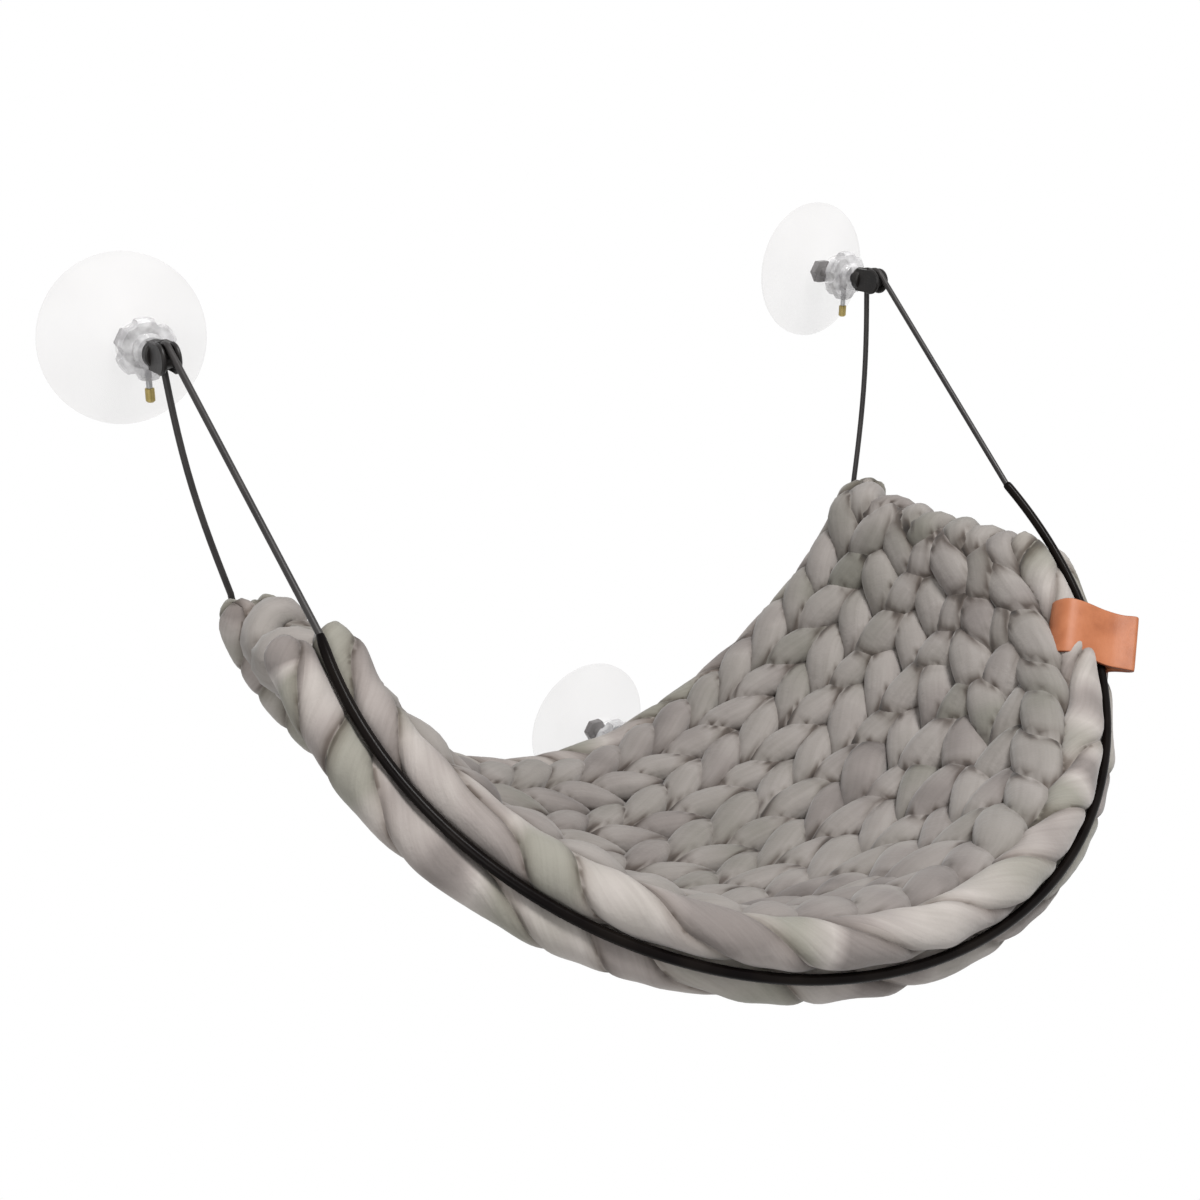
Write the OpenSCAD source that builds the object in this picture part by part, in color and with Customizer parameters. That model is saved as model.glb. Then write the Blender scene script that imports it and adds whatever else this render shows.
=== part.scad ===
// A window mounted sling bed for a cat. A knitted mat hangs on one coated cable between two
// suction cups, and a third cup holds the back edge of the mat near the glass.
// The origin lies on the glass, midway between the two upper cups. X runs along the glass,
// Y points into the glass and Z points up. All lengths are in millimetres.

/* [Layout on the glass] */
// Distance between the centres of the two upper cups
cup_spacing = 456; // [440:1:470]
// Sideways place of the lower cup, measured from the middle of the sling
lower_cup_x = 54; // [0:1:80]

/* [Front rim] */
// Angle between the glass and the plane that the front rim lies in
rim_tilt = 52.5; // [40:0.5:60]
// How far the widest place of the rim stays inside the middle of the upper cups
rim_inset = 9; // [0:1:18]
// Distance down the slope from the saddles to the widest place of the rim
rim_side_drop = 186; // [170:1:200]
// Depth of the rim below its widest place, down the slope
rim_depth = 203; // [190:1:220]

/* [Back edge] */
// How far the back edge stays inside the middle of the upper cups
back_inset = 18; // [8:1:28]
// Drop from the saddles to the widest place of the back edge
back_side_drop = 124; // [110:1:140]
// Depth of the back edge below its widest place
back_depth = 165; // [150:1:180]
// How much higher the left end of the back edge is than its right end
left_rise = 8; // [0:1:12]
// How pointed the back edge is: 1 is an ellipse, 2 is nearer a parabola
back_curve = 1.5; // [1:0.1:2]
// How far the ends of the back edge stand further from the glass than the lower saddle
back_lean = 19; // [0:1:30]
// Sideways bow of each free stretch of cable behind the mat
strand_bow = 3.5; // [0:0.5:8]

/* [Knitted mat] */
// Thickness of the mat over the crown of a wale
mat_thickness = 30; // [20:1:36]
// Depth of the furrow between two wales
furrow_depth = 4; // [0:0.5:6]
// Number of wales across the mat, without its two edgings
wale_count = 6; // [5:1:8]
// How far the middle of the mat sags below its two edges
mat_sag = 40; // [20:1:60]
// Angle along the rim at which the mat ends
mat_end_angle = 88; // [84:1:90]
// How much further round the mat's right half reaches along the rim than along the back edge
rim_lead = 1.03; // [1:0.01:1.06]
// The same for the left half
left_rim_lead = 1.06; // [1:0.01:1.08]
// Length of the rounding at each end of the mat, in degrees along the rim
end_round_angle = 5; // [3:0.5:8]
// Radius of each of the two strands that make up an edging
edging_radius = 10.5; // [9:0.5:12]
// How far each edging is rolled up over the cable or tube in its furrow
edging_roll = 25; // [0:1:40]
// Running gap between the mat, its edgings and what lies in them
soft_gap = 0.4; // [0.3:0.1:0.6]

/* [Cable and rim tube] */
// Outer diameter of the coated cable
cable_d = 3.6; // [3:0.2:5]
// Outer diameter of the tube round the cable in the front rim
rim_tube_d = 6; // [5.8:0.2:8]
// Bore of that tube
rim_tube_bore = 4.6; // [4.2:0.1:4.8]
// Angle along the rim at which the tube ends
rim_tube_end_angle = 97; // [95:1:100]
// Length of the crimped sleeve that closes the cable into a loop
sleeve_length = 26; // [22:1:36]
// Outer diameter of the sleeve
sleeve_d = 7.5; // [7:0.5:10]
// Length of cable that each end of the sleeve grips
sleeve_grip = 9; // [7:0.5:10]

/* [Suction cup] */
// Diameter of the lip against the glass
cup_d = 85; // [80:1:95]
// Width of the flat land of the lip
lip_land = 2.5; // [2:0.5:4]
// Thickness of the lip
lip_thickness = 1.6; // [1.2:0.1:2.5]
// Height of the hollow under the cup
cup_hollow = 3.6; // [2:0.2:4.4]
// Height of the dome where it meets the neck
dome_height = 15; // [14:0.5:17]
// Diameter of the neck
neck_d = 22; // [21:0.5:25]
// Distance from the glass to the outer face of the neck
neck_reach = 26; // [25:0.5:27]
// Diameter of the bead round the end of the neck
bead_d = 24; // [24:0.5:28]
// Width of that bead
bead_width = 4; // [3:0.5:6]

/* [Stud] */
// Diameter of the stud
stud_d = 6; // [5:0.5:7]
// Width across the flats of the hexagonal head inside the neck
stud_head_af = 13; // [12:0.5:14]
// Thickness of that head
stud_head = 4.5; // [3:0.5:6]
// Distance from the glass to the inner face of the head
stud_inset = 7.5; // [6.5:0.5:9]

/* [Thumb nut and washer] */
// Diameter over the lobes of the thumb nut
nut_d = 30; // [28:1:32]
// Number of lobes
nut_lobes = 6; // [5:1:8]
// Thickness of the lobed disc
nut_disc = 8; // [7:0.5:9]
// Diameter of the hub
nut_hub_d = 17; // [16:0.5:19]
// Length of the hub
nut_hub = 12; // [11:0.5:12.5]
// Depth of the scallop between two lobes
scallop_depth = 2.6; // [1:0.2:3]
// Diameter of the washer
washer_d = 20; // [18:0.5:22]
// Thickness of the washer
washer_thickness = 1.5; // [1:0.1:2]
// Clearance between the stud and the pieces that turn or slide on it
running_clearance = 0.08; // [0.05:0.01:0.1]

/* [Lock pin] */
// Diameter of the steel pin through the lower lobe
pin_d = 3; // [2.5:0.1:3.5]
// Distance from the axis of the stud to the lower end of the pin
pin_reach = 25; // [23:0.5:28]
// Diameter of the brass grip
grip_d = 4.6; // [4.2:0.1:6]
// Length of the grip
grip_length = 7; // [5:0.5:8]

/* [Cable knob] */
// Gap between the thumb nut and the knob
knob_gap = 4.2; // [4:0.1:5]
// Diameter of the collar that is screwed on the stud
collar_d = 14; // [13:0.5:16]
// Length of the collar
collar_length = 5.5; // [5:0.1:12]
// Radius of the saddle that the cable runs over
saddle_radius = 4.6; // [4:0.1:5]
// Radius of the two cheeks beside the saddle
cheek_radius = 7.6; // [6.6:0.1:8]
// Thickness of each cheek
cheek_thickness = 2.4; // [2:0.1:3]
// Clearance between the cable and the saddle that it runs over
cable_clearance = 0.3; // [0.2:0.05:0.5]
// Room at each side of the cable between the two cheeks of a knob
slot_side_room = 0.7; // [0.5:0.05:1]
// Radius of the rounding on the rims of collar and cheeks
knob_round = 0.8; // [0.4:0.1:1]

/* [Leather tag] */
// Angle along the rim at which the tag sits
tag_angle = 65; // [50:1:70]
// Width of the tag along the rim
tag_width = 34; // [20:1:38]
// Thickness of the leather
tag_thickness = 2.2; // [1.6:0.1:3]
// How far the folded end stands out past the rim tube
tag_reach = 24; // [16:1:30]
// How far the folded end hangs below the middle of the rim tube
tag_droop = 6; // [0:0.5:8]
// Angle round the edging at which each end is tucked into the knitting
tuck_angle = 50; // [24:1:60]

/* [Hidden] */
cup_names = ["left", "right", "lower"];

$fn = 64;
// Overrun of a cut past the face that it opens
overrun = 1;
// Play between the stud head and the pocket moulded round it
mould_play = 0.1;
// Gap between the end of the stud and the bottom of the knob's thread, and at the pin's tip
end_play = 0.3;
// Clearance of the pockets in the back edging round the lower knob and the crimped sleeve
pocket_clearance = 0.6;
// Room for the curve of the edging inside the straight tag
tag_play = 1.3;
// Length of the countersink in the mouths of the crimped sleeve
sleeve_mouth = 1.2;

// Sides of the cable, of the rim tube and of one strand of an edging
cable_sides = 8;
tube_sides = 10;
strand_sides = 7;
// Rings along one half of the back edge, over one saddle and along one half of the rim
back_rings = 13;
saddle_rings = 8;
rim_rings = 12;
free_rings = 3;
// Stations along the mat and points across it
mat_stations = 21;
edging_stations = 36;
end_stations = 3;
points_per_wale = 4;
under_points = 8;
nose_points = 4;

cable_r = cable_d / 2;
wrap_radius = saddle_radius + cable_clearance + cable_r;
knob_start = neck_reach + washer_thickness + nut_hub + knob_gap;
slot_bottom = knob_start + collar_length;
// Distance from the glass to the middle of each cable saddle
hook_reach = slot_bottom + cable_clearance + cable_r + wrap_radius;
rim_half_span = cup_spacing / 2 - rim_inset;
back_half_span = cup_spacing / 2 - back_inset;
// The lower cup sits at this angle along the back edge; its knob is turned to suit the cable
lower_angle = asin(lower_cup_x / back_half_span);
lower_turn = 90 - atan2(
    back_depth * back_curve * pow(cos(lower_angle), back_curve - 1) * sin(lower_angle),
    back_half_span * cos(lower_angle)
);
cup_positions = [
    [-cup_spacing / 2, 0, 0],
    [cup_spacing / 2, 0, 0],
    back_seat(lower_angle)
];
knob_turns = [0, 0, lower_turn];
// Distance from a cable or tube to the middle of the edging that holds it in its furrow
back_nest = nest(cable_r);
front_nest = nest(rim_tube_d / 2);
half_thickness = mat_thickness / 2;
// Distance from the middle of an edging to the middle of the mat's rounded side
side_nest = sqrt(pow(edging_radius + half_thickness + soft_gap, 2) - pow(edging_radius, 2));

function unit(v) = v / norm(v);
function mix(a, b, share) = a + (b - a) * share;
function nest(r) = sqrt(pow(edging_radius + r + soft_gap, 2) - pow(edging_radius, 2));
function reversed(list) = [for (i = [len(list) - 1 : -1 : 0]) list[i]];

// A point of the front rim, from the angle along it: 0 is the middle, 90 is its right side
function rim_point(a) =
    let (slope = rim_side_drop + rim_depth * cos(a))
    [rim_half_span * sin(a), -hook_reach - slope * sin(rim_tilt), -slope * cos(rim_tilt)];

// The same point, from the angle of the matching point of the back edge
function rim_at(a) = rim_point(a * (a < 0 ? left_rim_lead : rim_lead));

// The drop of the back edge at an angle along it
function side_drop(side) = back_side_drop - (side < 0 ? left_rise : 0);
function back_drop(a) =
    mix(side_drop(a), back_side_drop + back_depth, pow(max(cos(a), 0), back_curve));

// The place on the glass behind a point of the back edge
function back_seat(a) = [back_half_span * sin(a), 0, -back_drop(a)];

// A point of the cable in the back edge. It is nearest to the glass at the lower saddle.
function back_point(a) =
    let (
        side = a < lower_angle ? -1 : 1,
        lean = (sin(a) - sin(lower_angle)) / (1 - side * sin(lower_angle))
    )
    back_seat(a) - [0, hook_reach - wrap_radius + back_lean * lean * lean, 0];

// Directions at one station of the mat: along it, across it towards the front, and out of it
function along(a, share) = unit(mix(
    back_point(a + 1) - back_point(a - 1), rim_at(a + 1) - rim_at(a - 1), share));
function across(a) = unit(rim_at(a) - back_point(a));
function out_of(a, share) = unit(cross(across(a), along(a, share)));

// The two directions of an edging's section, rolled up from the direction that leads inwards
function side_of(a, share) = flatten(across(a), along(a, share));
function rolled_in(a, share, inward) =
    cos(edging_roll) * inward * side_of(a, share) + sin(edging_roll) * out_of(a, share);
function rolled_up(a, share, inward) =
    cos(edging_roll) * out_of(a, share) - sin(edging_roll) * inward * side_of(a, share);

// How full the mat and its edgings are near their rounded ends: 1, falling to a small share
function fullness(a) =
    let (past = (abs(a) - mat_end_angle + end_round_angle) / end_round_angle)
    past <= 0 ? 1 : sqrt(max(1 - past * past, least_fullness_share));
least_fullness_share = 0.04;

// The stations: evenly spread, then closer together over the rounded ends
function stations(count) =
    let (
        inner = mat_end_angle - end_round_angle,
        tip = [for (i = [1 : end_stations]) inner + end_round_angle * sin(90 * i / end_stations)]
    )
    concat(
        [for (a = reversed(tip)) -a],
        [for (i = [0 : count - 1]) inner * (2 * i / (count - 1) - 1)],
        tip
    );

// Triangles that close a stack of rings, with one middle point in each end
function skin_faces(rings, sides) = concat(
    [for (i = [0 : rings - 2], j = [0 : sides - 1], half = [0, 1])
        let (
            k = (j + 1) % sides,
            a = i * sides + j, b = i * sides + k,
            c = (i + 1) * sides + k, d = (i + 1) * sides + j
        )
        half == 0 ? [a, b, c] : [a, c, d]],
    [for (j = [0 : sides - 1]) [rings * sides, (j + 1) % sides, j]],
    [for (j = [0 : sides - 1])
        let (last = (rings - 1) * sides)
        [rings * sides + 1, last + j, last + (j + 1) % sides]]
);
function middle(ring) = [for (i = [0 : 2]) [for (p = ring) p[i]] * [for (p = ring) 1] / len(ring)];

module skin(rings) {
    polyhedron(
        points = concat([for (ring = rings, p = ring) p],
            [middle(rings[0]), middle(rings[len(rings) - 1])]),
        faces = skin_faces(len(rings), len(rings[0]))
    );
}

// Rings of a round tube along a path, turned as little as possible from one to the next
function tangents(path) = [for (i = [0 : len(path) - 1])
    unit(path[min(i + 1, len(path) - 1)] - path[max(i - 1, 0)])];
function flatten(v, t) = unit(v - (v * t) * t);
function carried(ts, first) = [
    for (i = 0, v = flatten(first, ts[0]); i < len(ts);
        i = i + 1, v = i < len(ts) ? flatten(v, ts[i]) : v) v];
function tube_rings(path, radius, sides, first) =
    let (ts = tangents(path), us = carried(ts, first))
    [for (i = [0 : len(path) - 1])
        let (w = cross(ts[i], us[i]))
        [for (j = [0 : sides - 1])
            path[i] + radius * (cos(360 * j / sides) * us[i] + sin(360 * j / sides) * w)]];

// The whole route of the cable: from the sleeve along the back edge to the right, up to the
// right saddle, over it, round the front rim, over the left saddle and back to the sleeve
sleeve_angle = asin((sleeve_length / 2 - sleeve_grip) / back_half_span);
saddle_last = 180 - rim_tilt + asin(wrap_radius / rim_side_drop);
function back_run(side) = [for (i = [0 : back_rings])
    back_point(side * (sleeve_angle + (90 - sleeve_angle) * i / back_rings))];
function saddle_point(side, a) =
    [side * cup_spacing / 2, -hook_reach + wrap_radius * cos(a), wrap_radius * sin(a)];
function saddle_first(side) = -atan(back_lean / side_drop(side));
function free_run(side) = [for (i = [1 : free_rings])
    let (share = i / (free_rings + 1))
    mix(back_point(side * 90), saddle_point(side, saddle_first(side)), share)
        + [side * strand_bow * sin(180 * share), 0, 0]];
function saddle_run(side) = [for (i = [0 : saddle_rings])
    saddle_point(side, mix(saddle_first(side), saddle_last, i / saddle_rings))];
function rim_run(last) = [for (i = [-rim_rings : rim_rings]) rim_point(-last * i / rim_rings)];
function half_run(side) = concat(back_run(side), free_run(side), saddle_run(side));
cable_route = concat(half_run(1), rim_run(rim_tube_end_angle), reversed(half_run(-1)));

// A ring of an edging: two strands side by side, the furrow between them facing outwards
function edging_ring(middle, inward, up, radius) =
    let (
        start = 90 - waist_angle,
        sweep = 360 - 2 * (90 - start),
        lobe = [for (i = [0 : strand_sides])
            let (b = -90 + waist_angle + (sweep) * i / strand_sides)
            [cos(b), 1 + sin(b)]],
        flat = concat(lobe, [for (p = lobe) [-p[0], -p[1]]])
    )
    [for (p = flat) middle + radius * (p[0] * inward + p[1] * up)];
waist_angle = 22;

function back_edging_ring(a) =
    edging_ring(back_point(a) + back_nest * rolled_in(a, 0, 1),
        rolled_in(a, 0, 1), rolled_up(a, 0, 1), edging_radius * fullness(a));
function front_edging_ring(a) =
    reversed(edging_ring(rim_at(a) + front_nest * rolled_in(a, 1, -1),
        rolled_in(a, 1, -1), rolled_up(a, 1, -1), edging_radius * fullness(a)));

// A ring of the mat: crowned wales on top, a plainer underside and rounded sides
function mat_ring(a) =
    let (
        from = back_point(a) + (back_nest + side_nest) * rolled_in(a, 0, 1),
        to = rim_at(a) + (front_nest + side_nest) * rolled_in(a, 1, -1),
        up = out_of(a, 0.5),
        thick = half_thickness * fullness(a),
        sag = mat_sag * pow(cos(90 * a / mat_end_angle), 2),
        top_count = wale_count * points_per_wale,
        side_count = nose_points + 1,
        top = [for (i = [0 : top_count])
            let (share = i / top_count)
            mix(from, to, share) - sag * sin(180 * share) * up
                + (thick - fullness(a) * furrow_depth
                    * pow(cos(180 * share * wale_count), 2)) * up],
        front = [for (i = [1 : nose_points])
            let (b = 180 * i / side_count)
            to + thick * (sin(b) * across(a) + cos(b) * up)],
        under = [for (i = [under_points : -1 : 0])
            let (share = i / under_points)
            mix(from, to, share) - (sag * sin(180 * share) + thick) * up],
        back = [for (i = [1 : nose_points])
            let (b = 180 * i / side_count)
            from - thick * (sin(b) * across(a) + cos(b) * up)]
    )
    concat(top, front, under, back);

// Puts what is drawn along +Z in the frame of one cup, with Z pointing out into the room
module on_glass(index) {
    translate(cup_positions[index]) rotate([90, 0, 0]) children();
}

module suction_cup(index) {
    outer = cup_d / 2;
    inner = outer - lip_land;
    neck = neck_d / 2;
    bead = bead_d / 2;
    bead_low = neck_reach - bead_width;
    skirt_shares = [for (i = [0 : 8]) i / 8];
    color([0.93, 0.94, 0.94, 0.5])
        on_glass(index) difference() {
            rotate_extrude() polygon(concat(
                [[0, cup_hollow]],
                [for (s = skirt_shares) if (s > 0)
                    [inner * s, cup_hollow * (1 - s * s)]],
                [[outer, 0]],
                [for (s = reversed(skirt_shares)) if (s > 0)
                    [mix(neck, outer, s),
                    mix(dome_height, lip_thickness, sin(90 * s) * 0.5 + s * 0.5)]],
                [[neck, dome_height],
                [neck, bead_low],
                [bead, bead_low + (bead - neck)],
                [bead, neck_reach - (bead - neck)],
                [neck, neck_reach],
                [0, neck_reach]]
            ));
            translate([0, 0, stud_inset - mould_play])
                cylinder(d = (stud_head_af + 2 * mould_play) / cos(30),
                    h = stud_head + 2 * mould_play, $fn = 6);
            translate([0, 0, stud_inset])
                cylinder(d = stud_d + 2 * mould_play, h = neck_reach);
        }
}

module stud(index) {
    tip = slot_bottom - 2 * end_play - stud_inset;
    color([0.32, 0.33, 0.34])
        on_glass(index) translate([0, 0, stud_inset]) {
            cylinder(d = stud_head_af / cos(30), h = stud_head, $fn = 6);
            cylinder(d = stud_d, h = tip - stud_d / 8);
            translate([0, 0, tip - stud_d / 8])
                cylinder(d1 = stud_d, d2 = stud_d * 3 / 4, h = stud_d / 8);
        }
}

module washer(index) {
    color([0.9, 0.9, 0.88])
        on_glass(index) translate([0, 0, neck_reach]) difference() {
            cylinder(d = washer_d, h = washer_thickness);
            translate([0, 0, -overrun])
                cylinder(d = stud_d + 2 * running_clearance, h = washer_thickness + 2 * overrun);
        }
}

module thumb_nut(index) {
    seat = neck_reach + washer_thickness;
    lobe_r = nut_d / 2;
    scallop_r = PI * nut_d / nut_lobes / 4;
    edge = nut_disc / 5;
    color([0.9, 0.92, 0.92, 0.5])
        on_glass(index) translate([0, 0, seat]) difference() {
            union() {
                intersection() {
                    linear_extrude(height = nut_disc) difference() {
                        circle(r = lobe_r);
                        for (i = [0 : nut_lobes - 1])
                            rotate(360 * (i + 0.5) / nut_lobes - 90)
                                translate([lobe_r + scallop_r - scallop_depth, 0])
                                    circle(r = scallop_r);
                    }
                    rotate_extrude() polygon([
                        [0, 0], [lobe_r - edge, 0], [lobe_r, edge],
                        [lobe_r, nut_disc - edge], [lobe_r - edge, nut_disc], [0, nut_disc]
                    ]);
                }
                cylinder(d = nut_hub_d, h = nut_hub - edge);
                translate([0, 0, nut_hub - edge])
                    cylinder(d1 = nut_hub_d, d2 = nut_hub_d - 2 * edge, h = edge);
            }
            translate([0, 0, -overrun])
                cylinder(d = stud_d + 2 * running_clearance, h = nut_hub + 2 * overrun);
            translate([0, 0, nut_disc / 2])
                rotate([90, 0, 0])
                    cylinder(d = pin_d + 2 * running_clearance, h = nut_d);
        }
}

// Puts what is drawn along +Z on the axis of a lock pin, with Z pointing away from the stud
module on_pin(index) {
    on_glass(index) translate([0, 0, neck_reach + washer_thickness + nut_disc / 2])
        rotate([90, 0, 0]) children();
}

module lock_pin(index) {
    start = stud_d / 2 + end_play;
    color([0.45, 0.45, 0.46])
        on_pin(index) translate([0, 0, start]) {
            cylinder(d1 = pin_d / 2, d2 = pin_d, h = pin_d / 4);
            translate([0, 0, pin_d / 4])
                cylinder(d = pin_d, h = pin_reach - start - pin_d / 4);
        }
}

module pin_grip(index) {
    top = pin_reach + pin_d / 4 - grip_length;
    edge = (grip_d - pin_d) / 2;
    color([0.72, 0.62, 0.32])
        on_pin(index) translate([0, 0, top]) difference() {
            rotate_extrude() polygon([
                [0, 0], [grip_d / 2 - edge / 2, 0], [grip_d / 2, edge / 2],
                [grip_d / 2, grip_length - edge], [grip_d / 2 - edge, grip_length],
                [0, grip_length]
            ]);
            translate([0, 0, -overrun])
                cylinder(d = pin_d, h = overrun + grip_length - pin_d / 4);
        }
}

module cable_knob(index) {
    slot = cable_d + 2 * slot_side_room;
    wide = slot + 2 * cheek_thickness;
    collar = slot_bottom - knob_start;
    reach = hook_reach - knob_start;
    neck = collar_d / 2 - knob_round;
    color([0.09, 0.09, 0.1])
        on_glass(index) rotate(-knob_turns[index]) translate([0, 0, knob_start]) {
            difference() {
                union() {
                    rotate_extrude() polygon([
                        [0, 0], [neck, 0], [collar_d / 2, knob_round],
                        [collar_d / 2, collar - knob_round], [neck, collar], [0, collar]
                    ]);
                    for (side = [-1, 1])
                        translate([side * (slot + cheek_thickness) / 2, 0, 0])
                            cheek(reach, collar);
                }
                translate([0, 0, -overrun])
                    cylinder(d = stud_d + 2 * mould_play, h = overrun + collar - end_play);
                translate([-slot / 2, -collar_d, collar])
                    cube([slot, 2 * collar_d, reach + collar_d]);
            }
            translate([-wide / 2 + knob_round, 0, reach])
                rotate([0, 90, 0]) cylinder(r = saddle_radius, h = wide - 2 * knob_round);
        }
}

// One cheek of the knob: a round plate with softened rims, joined to the collar
module cheek(reach, collar) {
    half = cheek_thickness / 2;
    translate([0, 0, reach]) rotate([0, 90, 0]) rotate_extrude() polygon([
        [0, -half], [cheek_radius - knob_round, -half], [cheek_radius, knob_round - half],
        [cheek_radius, half - knob_round], [cheek_radius - knob_round, half], [0, half]
    ]);
    translate([-half, -cheek_radius + knob_round, collar / 2])
        cube([cheek_thickness, 2 * (cheek_radius - knob_round), reach - collar / 2]);
}

module suspension_cable() {
    color([0.16, 0.16, 0.16])
        skin(tube_rings(cable_route, cable_r, cable_sides, [0, 1, 0]));
}

module crimp_sleeve() {
    bore = cable_d + 2 * mould_play;
    rim = sleeve_d / 2;
    color([0.7, 0.71, 0.72]) difference() {
        translate(mix(back_point(sleeve_angle), back_point(-sleeve_angle), 0.5))
            rotate([0, 90, 0]) rotate_extrude() polygon([
                [0, -sleeve_length / 2], [rim - sleeve_mouth, -sleeve_length / 2],
                [rim, sleeve_mouth - sleeve_length / 2],
                [rim, sleeve_length / 2 - sleeve_mouth],
                [rim - sleeve_mouth, sleeve_length / 2], [0, sleeve_length / 2]
            ]);
        for (side = [-1, 1]) {
            run = back_run(side);
            aimed(run[0], run[1]) translate([0, 0, -end_play])
                cylinder(d = bore, h = sleeve_length / 2);
        }
    }
}

// Puts what is drawn along +Z on the line from one point towards another
module aimed(from, to) {
    d = to - from;
    translate(from) rotate([0, acos(d[2] / norm(d)), atan2(d[1], d[0])]) children();
}

module rim_tube() {
    path = rim_run(rim_tube_end_angle);
    outer = tube_rings(path, rim_tube_d / 2, tube_sides, [0, 1, 0]);
    inner = tube_rings(path, rim_tube_bore / 2, tube_sides, [0, 1, 0]);
    rings = len(path);
    inside = rings * tube_sides;
    last = (rings - 1) * tube_sides;
    color([0.03, 0.03, 0.03])
        polyhedron(
            points = concat([for (ring = outer, p = ring) p], [for (ring = inner, p = ring) p]),
            faces = concat(
                [for (i = [0 : rings - 2], j = [0 : tube_sides - 1], half = [0 : 3])
                    let (
                        k = (j + 1) % tube_sides,
                        a = i * tube_sides + j, b = i * tube_sides + k,
                        c = b + tube_sides, d = a + tube_sides
                    )
                    half == 0 ? [a, b, c] : half == 1 ? [a, c, d]
                    : half == 2 ? [inside + a, inside + c, inside + b]
                    : [inside + a, inside + d, inside + c]],
                [for (j = [0 : tube_sides - 1], half = [0 : 3])
                    let (k = (j + 1) % tube_sides)
                    half == 0 ? [j, inside + k, k] : half == 1 ? [j, inside + j, inside + k]
                    : half == 2 ? [last + j, last + k, inside + last + k]
                    : [last + j, inside + last + k, inside + last + j]]
            )
        );
}

module knitted_bed() {
    color([0.62, 0.59, 0.56])
        skin([for (a = stations(mat_stations)) mat_ring(a)]);
}

module front_edging() {
    color([0.66, 0.63, 0.6])
        skin([for (a = stations(edging_stations)) front_edging_ring(a)]);
}

module back_edging() {
    reach = hook_reach + cheek_radius + pocket_clearance;
    color([0.6, 0.58, 0.55])
        difference() {
            skin([for (a = stations(edging_stations)) back_edging_ring(a)]);
            on_glass(2) translate([0, 0, neck_reach])
                cylinder(r = norm([cheek_radius, cable_r + cheek_thickness]) + pocket_clearance,
                    h = reach - neck_reach, $fn = 24);
            translate(mix(back_point(sleeve_angle), back_point(-sleeve_angle), 0.5))
                rotate([0, 90, 0])
                    cylinder(d = sleeve_d + 2 * pocket_clearance,
                        h = sleeve_length + 2 * pocket_clearance, center = true, $fn = 24);
        }
}

// The outline of a strip that follows a line of points, half its thickness to each side
function ribbon(points, half) =
    let (
        ts = [for (i = [0 : len(points) - 1])
            unit(points[min(i + 1, len(points) - 1)] - points[max(i - 1, 0)])],
        side = [for (t = ts) half * [-t[1], t[0]]]
    )
    concat([for (i = [0 : len(points) - 1]) points[i] + side[i]],
        [for (i = [len(points) - 1 : -1 : 0]) points[i] - side[i]]);

// How far the folded end of the tag hangs down, at a distance out from the rim tube
function hang(x) =
    let (share = min(max(x / (tag_reach - 2 * tag_thickness), 0), 1))
    tag_droop * (1 - cos(180 * share)) / 2;

module leather_tag() {
    half = tag_thickness / 2;
    wrap = edging_radius + tag_play + half;
    fold = half + soft_gap / 2;
    leave_angle = 146;
    arc_points = 9;
    free_points = 6;
    arc = [for (i = [0 : arc_points])
        let (b = mix(tuck_angle, leave_angle, i / arc_points))
        [-front_nest - wrap * cos(b), edging_radius + wrap * sin(b)]];
    upper = concat(
        arc,
        [for (i = [1 : free_points])
            mix(arc[arc_points], [tag_reach - 2 * fold, fold], i / (free_points + 1))],
        [for (i = [0 : 5])
            let (b = -90 + 180 * i / 10)
            [tag_reach - fold + fold * sin(b + 90), fold * cos(b + 90)]]
    );
    line = concat(upper, [for (p = reversed(upper)) if (p[1] > 0) [p[0], -p[1]]]);
    a = tag_angle;
    x = rolled_in(a, 1, -1);
    y = rolled_up(a, 1, -1);
    z = cross(x, y);
    color([0.73, 0.44, 0.3])
        translate(rim_at(a))
            multmatrix([
                [x[0], y[0], z[0], 0], [x[1], y[1], z[1], 0], [x[2], y[2], z[2], 0], [0, 0, 0, 1]
            ])
                linear_extrude(height = tag_width, center = true)
                    polygon(ribbon([for (p = line) [-p[0], p[1] - hang(p[0])]], half));
}

module cup_set(index) {
    name = cup_names[index];
    suction_cup(index);
    stud(index);
    washer(index);
    thumb_nut(index);
    lock_pin(index);
    pin_grip(index);
    cable_knob(index);
}

for (index = [0 : len(cup_names) - 1]) cup_set(index);
suspension_cable();
crimp_sleeve();
rim_tube();
knitted_bed();
front_edging();
back_edging();
leather_tag();
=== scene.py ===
import math

import bpy
import numpy as np
from mathutils import Matrix, Vector
from mathutils.bvhtree import BVHTree


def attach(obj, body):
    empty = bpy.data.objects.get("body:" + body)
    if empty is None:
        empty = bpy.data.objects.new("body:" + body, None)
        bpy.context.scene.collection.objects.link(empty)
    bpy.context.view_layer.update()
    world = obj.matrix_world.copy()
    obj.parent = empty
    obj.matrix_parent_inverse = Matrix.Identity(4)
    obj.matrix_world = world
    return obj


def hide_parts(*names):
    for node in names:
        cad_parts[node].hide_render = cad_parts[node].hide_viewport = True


# %% [markdown]
# # A window mounted sling bed for a cat
# A thick hand-knitted mat hangs on one coated cable between two suction cups on a window, and a
# third cup holds its back edge near the glass. The frame has every piece, at its true size but
# plain. This lesson dresses it: each strand of yarn, the cable, the tube, the small fittings and
# the leather. Lengths are in millimetres until a mesh is made, and in metres after that.

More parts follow.
